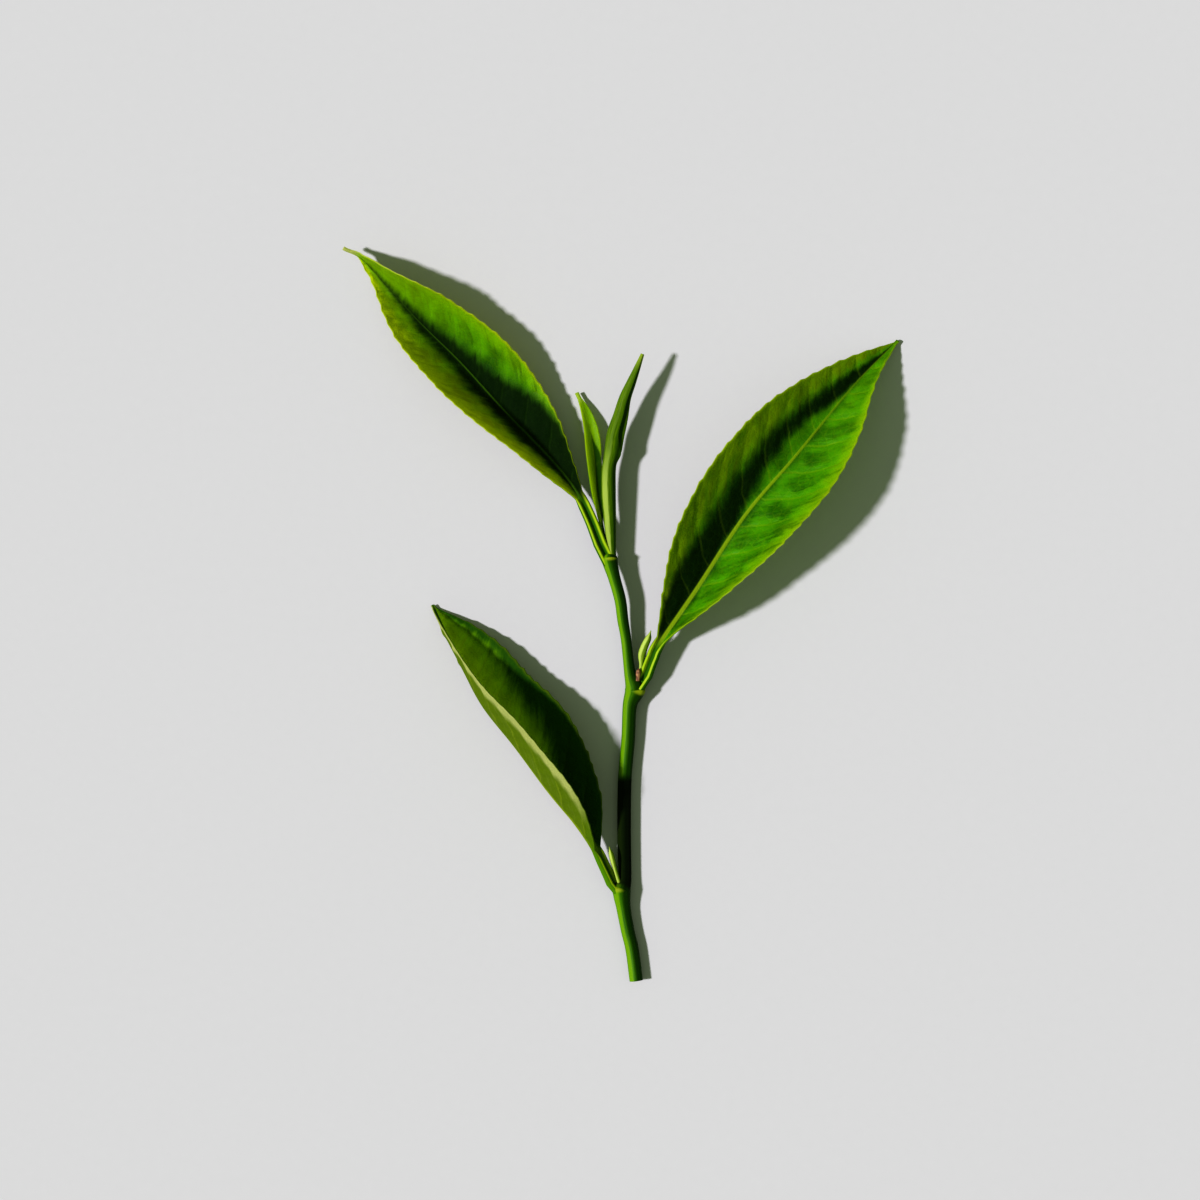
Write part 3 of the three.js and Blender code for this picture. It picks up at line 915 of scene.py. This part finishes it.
def upper_skin(g, leaf, look):
    """The upper side: its green under fine veins, side veins, midrib, margin and drip tip."""
    fine_share = g.minus(0.12, g.times(leaf.deep, 0.1))
    green = g.mix(g.times(leaf.fine_vein, fine_share), blade_green(g, leaf, look), look["vein"])
    rib_line = g.times(leaf.midrib, g.ramp(leaf.tip, 0.9, 0.45, 0.3, 1.0))
    side_share = g.minus(0.3, g.times(leaf.deep, 0.2))
    veins = g.math("MAXIMUM", rib_line, g.times(leaf.side_vein, side_share))
    skin = g.mix(veins, green, look["vein"])
    edge = g.times(g.ramp(leaf.t, 0.93, 0.99), g.plus(0.55, g.times(leaf.tooth, 0.45)))
    skin = g.mix(edge, skin, look["margin"])
    start = look["drip_start"]
    return g.mix(g.ramp(leaf.tip, start, start + 0.04), skin, look["drip"])


def under_skin(g, leaf, look):
    """The underside: green at the foot, lighter veins, and paler to the margin, there partly a painted
    highlight.
    """
    pale = g.times(g.ramp(leaf.t, 0.66, 0.86), g.ramp(leaf.tip, 0.1, 0.28))
    pale = g.math("ADD", pale, g.around(leaf.streak, 0.5), clamp=True)
    below = g.mix(pale, look["under_rib_side"], look["under"])
    below = g.mix(g.times(g.ramp(leaf.cells, 0.3, 0.7), 0.25), below, look["under_dark"])
    veins = g.math("MAXIMUM", leaf.midrib, g.times(leaf.side_vein, 0.4))
    below = g.mix(veins, below, look["rib_under"])
    end = look["base_end"]
    return g.mix(g.ramp(leaf.tip, end, end - 0.2), below, look["base_green"])


def leaf_colour(g, leaf, look):
    """Both sides of the blade, and the stalk with its light edges."""
    surface = g.mix(leaf.upper, under_skin(g, leaf, look), upper_skin(g, leaf, look))
    on_edge = g.times(g.ramp(leaf.t, 0.35, 0.75), leaf.upper)
    stalk = g.mix(on_edge, look["stalk"], look["stalk_edge"])
    return g.mix(leaf.bare, surface, stalk)


def leaf_bump(g, leaf):
    """Fine relief of the skin: cells, fine veins, streaks and grain."""
    relief = g.plus(g.times(leaf.cells, 0.35), g.times(leaf.fine_vein, -0.2))
    relief = g.plus(relief, g.times(leaf.streak, 0.9))
    relief = g.plus(relief, g.times(g.noise(leaf.flat, 9.0, 2.0), 0.15))
    return g.bump(relief, 0.5, LEAF_BUMP)


def leaf_material(name, look):
    """A waxy leaf that lets light through, less where shade is painted; it is duller there and underneath."""
    g = Graph(name)
    leaf = leaf_facts(g, look)
    bump = leaf_bump(g, leaf)
    dull = g.plus(g.times(g.minus(1.0, leaf.upper), 0.22), g.times(leaf.deep, 0.3))
    rough = g.plus(g.times(g.noise(leaf.flat, 1.3), 0.2), g.plus(dull, 0.36))
    colour = leaf_colour(g, leaf, look)
    body = g.node("BsdfPrincipled", {"Base Color": colour, "Roughness": rough, "Normal": bump})
    body.inputs["IOR"].default_value = WAX_IOR
    body.inputs["Specular IOR Level"].default_value = LEAF_GLOSS
    glow_colour = g.mix(g.times(leaf.deep, 0.85), look["glow"], look["glow_in_painted_shade"])
    glow = g.node("BsdfTranslucent", {"Color": glow_colour, "Normal": bump})
    share = g.times(g.minus(1.0, g.times(leaf.bare, 0.7)), look["see_through"])
    both = g.node("MixShader", {0: share, 1: body.outputs[0], 2: glow.outputs[0]})
    return g.finish(both.outputs[0])


def shoot_facts(g):
    """What the material of a stem or a bud knows at each point: its place, long streaks and specks."""
    shoot = SimpleNamespace(share=g.attribute("share"), angle=g.attribute("angle"))
    lengthwise = g.combine(g.times(shoot.share, 3.0), g.times(shoot.angle, 9.0))
    shoot.streak = g.noise(lengthwise, 4.0, 4.0, 0.6)
    shoot.speck = g.noise(g.place(), SPECK_GRAIN, 2.0)
    return shoot


def shoot_colour(g, shoot, look):
    """Streaks, specks, painted highlight on the left, painted shade on the right; a bud's light rim and
    point.
    """
    colour = g.mix(g.ramp(shoot.streak, 0.3, 0.75), look["base"], look["streak"])
    colour = g.mix(g.times(g.ramp(shoot.speck, 0.6, 0.75), 0.25), colour, look["streak"])
    # A painted highlight on the lit left side.
    from_highlight = g.math("ABSOLUTE", g.minus(shoot.angle, look["highlight_turn"]))
    uneven = g.plus(g.around(shoot.streak, 1.1), 0.15)
    pale = g.plus(g.ramp(from_highlight, look["highlight_width"], 0.02), uneven)
    end = look["highlight_end"]
    pale = g.times(g.ramp(pale, 0.35, 1.0), g.ramp(shoot.share, end, end - 0.3, 0.1, 1.0))
    colour = g.mix(pale, colour, look["pale"])
    # Painted shade on the right side.
    start = look["shaded_side_start"]
    right = g.times(g.ramp(shoot.angle, start, start + 0.12), g.ramp(shoot.angle, 0.75, 0.6))
    colour = g.mix(g.times(right, look["shaded_side_share"]), colour, look["right"])
    rim = g.times(g.ramp(shoot.angle, 0.41, 0.45), g.ramp(shoot.angle, 0.5, 0.48))
    colour = g.mix(g.times(rim, look["rim_share"]), colour, look["streak"])
    point = g.ramp(shoot.share, 0.9, 1.0, 0.0, look["point_share"])
    return g.mix(point, colour, look["point"])


def finish_shoot(g, shoot, colour, rough, look):
    """A soft green skin with a faint silky sheen."""
    height = g.plus(g.times(shoot.streak, 0.6), g.times(shoot.speck, 0.4))
    bump = g.bump(height, 0.4, SHOOT_BUMP)
    body = g.node("BsdfPrincipled", {"Base Color": colour, "Roughness": rough, "Normal": bump})
    body.inputs["IOR"].default_value = WAX_IOR
    body.inputs["Specular IOR Level"].default_value = SHOOT_GLOSS
    body.inputs["Sheen Weight"].default_value = look["sheen"]
    body.inputs["Sheen Roughness"].default_value = 0.4
    body.inputs["Subsurface Weight"].default_value = 0.1
    body.inputs["Subsurface Radius"].default_value = GLOW_DEPTH
    body.inputs["Subsurface Scale"].default_value = 1.0
    return g.finish(body.outputs[0])


def bud_material(name, look):
    """The skin of a bud."""
    g = Graph(name)
    shoot = shoot_facts(g)
    return finish_shoot(g, shoot, shoot_colour(g, shoot, look), look["rough"], look)


def stem_material(name, look):
    """The stem's skin with its ledges, a painted shadow of the lower leaf and its cut end."""
    g = Graph(name)
    shoot = shoot_facts(g)
    colour = shoot_colour(g, shoot, look)
    colour = g.mix(g.ramp(g.attribute("ledge"), 0.05, 0.2), colour, look["ledge"])
    # The painted shadow of the lower leaf, on the top and sides only.
    from_top = g.math("ABSOLUTE", g.minus(shoot.angle, 0.2))
    shaded = g.times(g.attribute("shaded"), g.ramp(from_top, 0.36, 0.26))
    colour = g.mix(g.times(shaded, 0.96), colour, look["shaded"])
    rough = g.plus(g.times(shaded, 0.4), look["rough"])
    cut = g.attribute("cut")
    grain = g.noise(g.place(), PITH_GRAIN, 2.0)
    pith = g.mix(g.ramp(g.plus(cut, g.times(grain, 0.2)), 0.3, 0.8), look["cut_edge"], look["pith"])
    colour = g.mix(g.math("GREATER_THAN", cut, 0.02), colour, pith)
    return finish_shoot(g, shoot, colour, rough, look)


# The pale colour is a painted highlight on the lit left side, the right colour is painted shade on the right
# side, and the shaded colour is the painted shadow of the lower leaf.
STEM_LOOK = {
    "base": (0.03, 0.11, 0.0),
    "streak": (0.06, 0.17, 0.0),
    "pale": (0.12, 0.25, 0.001),
    "highlight_turn": 0.12,
    "highlight_width": 0.12,
    "highlight_end": 1.4,
    "right": (0.008, 0.036, 0.0),
    "shaded_side_start": 0.19,
    "shaded_side_share": 0.85,
    "rim_share": 0.0,
    "point": (0.1, 0.2, 0.0),
    "point_share": 0.0,
    "ledge": (0.22, 0.29, 0.01),
    "shaded": (0.005, 0.01, 0.002),
    "cut_edge": (0.2, 0.3, 0.04),
    "pith": (0.5, 0.52, 0.25),
    "rough": 0.5,
    "sheen": 0.0,
}

# As on the stem, the pale colour is a painted highlight on the left side and the right colour is painted
# shade on the right side.
BUD_LOOK = {
    "base": (0.042, 0.1, 0.0),
    "streak": (0.1, 0.18, 0.0),
    "pale": (0.25, 0.33, 0.055),
    "highlight_turn": 0.16,
    "highlight_width": 0.14,
    "highlight_end": 0.6,
    "right": (0.02, 0.066, 0.0),
    "shaded_side_start": 0.26,
    "shaded_side_share": 0.85,
    "rim_share": 0.8,
    "point": (0.22, 0.3, 0.03),
    "point_share": 0.9,
    "rough": 0.5,
    "sheen": 0.03,
}

SMALL_BUD_LOOK = {
    **BUD_LOOK,
    "base": (0.16, 0.26, 0.01),
    "streak": (0.24, 0.34, 0.03),
    "pale": (0.36, 0.45, 0.1),
    "highlight_end": 1.4,
    "shaded_side_share": 0.4,
    "rim_share": 0.0,
}


def scale_material():
    """A dry brown scale."""
    g = Graph("bud_scale_brown")
    grain = g.noise(g.place(), SCALE_GRAIN, 4.0)
    colour = g.mix(g.ramp(grain, 0.35, 0.65), (0.11, 0.04, 0.02), (0.33, 0.18, 0.08))
    bump = g.bump(grain, 0.6, SHOOT_BUMP)
    body = g.node("BsdfPrincipled", {"Base Color": colour, "Roughness": 0.7, "Normal": bump})
    return g.finish(body.outputs[0])


# The deep colour is painted shade, the outer left colour painted glow, and the under colour partly a painted
# highlight.
OLD_LEAF = {
    "deep": (0.003, 0.018, 0.0),
    "middle": (0.01, 0.1, 0.0),
    "bright": (0.09, 0.36, 0.0),
    "outer": (0.3, 0.5, 0.0),
    "painted_glow_left": (0.3, 0.37, 0.0),
    "outer_share": 0.75,
    "toward_tip": (0.16, 0.4, 0.0),
    "tip_share": 0.35,
    "drip": (0.12, 0.2, 0.0),
    "drip_start": 1.0,
    "base_end": 0.16,
    "base_green": (0.09, 0.23, 0.0),
    "vein": (0.3, 0.44, 0.008),
    "margin": (0.34, 0.44, 0.01),
    "rib_width": 0.36,
    "under_rib_side": (0.15, 0.24, 0.002),
    "under": (0.58, 0.63, 0.21),
    "under_dark": (0.2, 0.3, 0.03),
    "rib_under": (0.34, 0.44, 0.02),
    "stalk": (0.03, 0.12, 0.0),
    "stalk_edge": (0.32, 0.46, 0.01),
    "glow": (0.5, 0.72, 0.003),
    "glow_in_painted_shade": (0.03, 0.08, 0.001),
    "see_through": 0.45,
}

UPPER_LEAF = {
    **OLD_LEAF,
    "middle": (0.014, 0.12, 0.0),
    "bright": (0.1, 0.36, 0.0),
    "outer": (0.16, 0.42, 0.0),
    "painted_glow_left": (0.55, 0.7, 0.0),
    "outer_share": 0.85,
    "toward_tip": (0.24, 0.46, 0.0),
    "tip_share": 0.65,
    "drip": (0.44, 0.48, 0.18),
    "drip_start": 0.94,
    "vein": (0.07, 0.17, 0.006),
    "rib_width": 0.2,
    "glow": (0.75, 0.8, 0.002),
}

# Outside its painted shade, the lower leaf's bright greens are painted glow, for light that shines through
# its raised left half onto the fold.
LOWER_LEAF = {
    **OLD_LEAF,
    "deep": (0.017, 0.1, 0.002),
    "margin": (0.14, 0.22, 0.01),
    "middle": (0.2, 0.5, 0.0),
    "bright": (0.42, 0.85, 0.0),
    "glow_in_painted_shade": (0.05, 0.13, 0.001),
    "stalk": (0.08, 0.2, 0.0),
    "outer_share": 0.0,
    "tip_share": 0.0,
    "rib_width": 0.45,
    "glow": (0.8, 0.9, 0.005),
}

YOUNG_LEAF = {
    **OLD_LEAF,
    "middle": (0.14, 0.3, 0.002),
    "bright": (0.22, 0.38, 0.002),
    "under_rib_side": (0.2, 0.34, 0.003),
    "under": (0.28, 0.42, 0.01),
    "under_dark": (0.18, 0.32, 0.005),
    "glow": (0.74, 0.93, 0.004),
    "see_through": 0.55,
    "rib_width": 0.2,
    "deep": (0.02, 0.09, 0.0),
    "drip": (0.4, 0.5, 0.08),
    "drip_start": 0.9,
    "base_end": 0.55,
    "base_green": (0.03, 0.16, 0.0),
}


def ledge_at(share, angle):
    """How much each ledge stands out at places of the stem, as a share of its height."""
    total = np.zeros(np.broadcast(share, angle).shape)
    for place, facing, height in LEDGES:
        middle = np.interp(place, STEM_CURVE.points[:, 1], STEM_CURVE.run)
        toward = 0.5 + 0.5 * np.cos(angle - facing)
        away = share * STEM_CURVE.length - middle - LEDGE_SLANT * (toward - 0.5)
        reach = np.where(away > 0, LEDGE_ABOVE, LEDGE_BELOW)
        total = total + height * toward**4 * np.exp(-((away / reach) ** 2))
    return total


def stem_radius(share, angle):
    """Soft ribs along the stem, the ledges at its nodes, and its rounded top end."""
    ribs = 0.02 * np.sin(5 * angle + 3 * share) + 0.014 * np.sin(8 * angle + 1.3)
    past = np.clip((share - 1) * STEM_CURVE.length + TOP_ROUND, 0, TOP_ROUND) / TOP_ROUND
    return (1 + ribs + ledge_at(share, angle)) * np.sqrt(1 - 0.8 * past**2)


def bud_radius(share, angle):
    """The rolled outer leaf of the bud: its free edge is a step, and the margin below it flares."""
    open_part = smoothstep(*BUD_OPENS, share)
    seam = SEAM_LOW - (SEAM_LOW - SEAM_HIGH) * smoothstep(0.46, 0.62, share)
    turn = ((angle - seam) / (2 * math.pi)) % 1
    step = BUD_STEP * np.clip(turn / 0.97, 0, 1) ** 0.8 * np.clip((1 - turn) / 0.03, 0, 1)
    shown = 0.25 + 0.75 * open_part * (1 - smoothstep(0.93, 1.0, share))
    flare = BUD_FLARE * np.exp(-(((angle - FLARE_TURN) / 0.3) ** 2))
    flare = flare * open_part * (1 - smoothstep(*FLARE_ENDS, share))
    return 0.86 + (step + flare) * shown + 0.012 * np.sin(9 * angle + 4 * share)


def small_bud_radius(share, angle):
    """A small closed bud: one wrapped edge and a point."""
    seam = math.pi * (0.4 + 0.3 * share)
    turn = ((angle - seam) / (2 * math.pi)) % 1
    step = SMALL_BUD_STEP * np.clip(turn / 0.95, 0, 1) * np.clip((1 - turn) / 0.05, 0, 1)
    point = 1 - 0.75 * smoothstep(0.8, 1.0, share)
    return (0.9 + step) * point


def make_floor():
    """A plain pale floor."""
    mesh = bpy.data.meshes.new("floor")
    half = FLOOR_WIDTH / 2
    corners = [(-half, -half, 0), (half, -half, 0), (half, half, 0), (-half, half, 0)]
    mesh.from_pydata(corners, [], [(0, 1, 2, 3)])
    floor = bpy.data.objects.new("floor", mesh)
    bpy.context.scene.collection.objects.link(floor)
    g = Graph("floor_paper")
    grain = g.noise(g.place(), FLOOR_GRAIN, 2.0)
    colour = g.mix(grain, (0.495, 0.495, 0.495), (0.505, 0.505, 0.505))
    body = g.node("BsdfPrincipled", {"Base Color": colour, "Roughness": 0.9})
    body.inputs["Specular IOR Level"].default_value = 0.1
    mesh.materials.append(g.finish(body.outputs[0]))


def make_light():
    """A low sun from the left, and a weak even fill."""
    lamp = bpy.data.lights.new("sun", "SUN")
    lamp.energy = SUN_STRENGTH
    lamp.angle = SUN_SOFTNESS
    lamp.color = SUN_COLOUR
    sun = bpy.data.objects.new("sun", lamp)
    sun.rotation_euler = (0, SUN_ELEVATION - math.pi / 2, -SUN_TURN)
    bpy.context.scene.collection.objects.link(sun)
    world = bpy.data.worlds.new("fill")
    world.use_nodes = True
    background = world.node_tree.nodes["Background"]
    background.inputs["Color"].default_value = (*FILL_COLOUR, 1)
    background.inputs["Strength"].default_value = FILL_STRENGTH
    bpy.context.scene.world = world


def make_camera():
    """A camera straight above, as in the photo."""
    lens = bpy.data.cameras.new("camera")
    lens.sensor_fit = "HORIZONTAL"
    lens.sensor_width = SENSOR_WIDTH
    lens.lens = SENSOR_WIDTH * CAMERA_HEIGHT / PICTURE_WIDTH
    lens.clip_start = 0.01
    camera = bpy.data.objects.new("camera", lens)
    x, y = (np.array(CAMERA_PLACE) + SHIFT[:2]) * MM
    camera.location = (x, y, CAMERA_HEIGHT)
    bpy.context.scene.collection.objects.link(camera)
    bpy.context.scene.camera = camera
    bpy.context.scene.view_settings.view_transform = "Standard"
    bpy.context.scene.view_settings.look = "High Contrast"


def make_sprig():
    """The nine pieces of the sprig; buds and scale start a little inside what they grow from."""
    make_leaf(LEAF_RIGHT, leaf_material("tea_leaf_right", OLD_LEAF))
    make_leaf(LEAF_UPPER, leaf_material("tea_leaf_upper", UPPER_LEAF))
    make_leaf(LEAF_LOWER, leaf_material("tea_leaf_lower", LOWER_LEAF))
    young_leaf = leaf_material("young_tea_leaf", YOUNG_LEAF)
    make_leaf(LEAF_YOUNG, young_leaf, columns=10, toothed=False)
    make_stem(stem_material("green_stem", STEM_LOOK))
    bud = bud_material("bud_green", BUD_LOOK)
    small_bud = bud_material("small_bud_green", SMALL_BUD_LOOK)
    top_bud = lengthened(BUD_TERMINAL, 0.8)
    make_round("terminal_bud", top_bud, 120, 260, bud, "bud_terminal", bud_radius)
    right_bud = lengthened(BUD_AXIL_RIGHT, 0.9)
    make_round("axil_bud_right", right_bud, 48, 60, small_bud, "bud_axil_right", small_bud_radius)
    low_bud = [BUD_AXIL_LOWER_FOOT, *BUD_AXIL_LOWER]
    make_round("axil_bud_lower", low_bud, 32, 40, small_bud, "bud_axil_lower", small_bud_radius)
    scale = lengthened(SCALE_AXIL, 0.3)
    make_round("bud_scale", scale, 24, 24, scale_material(), "scale_axil", small_bud_radius)


make_camera()
make_light()
make_floor()
make_sprig()
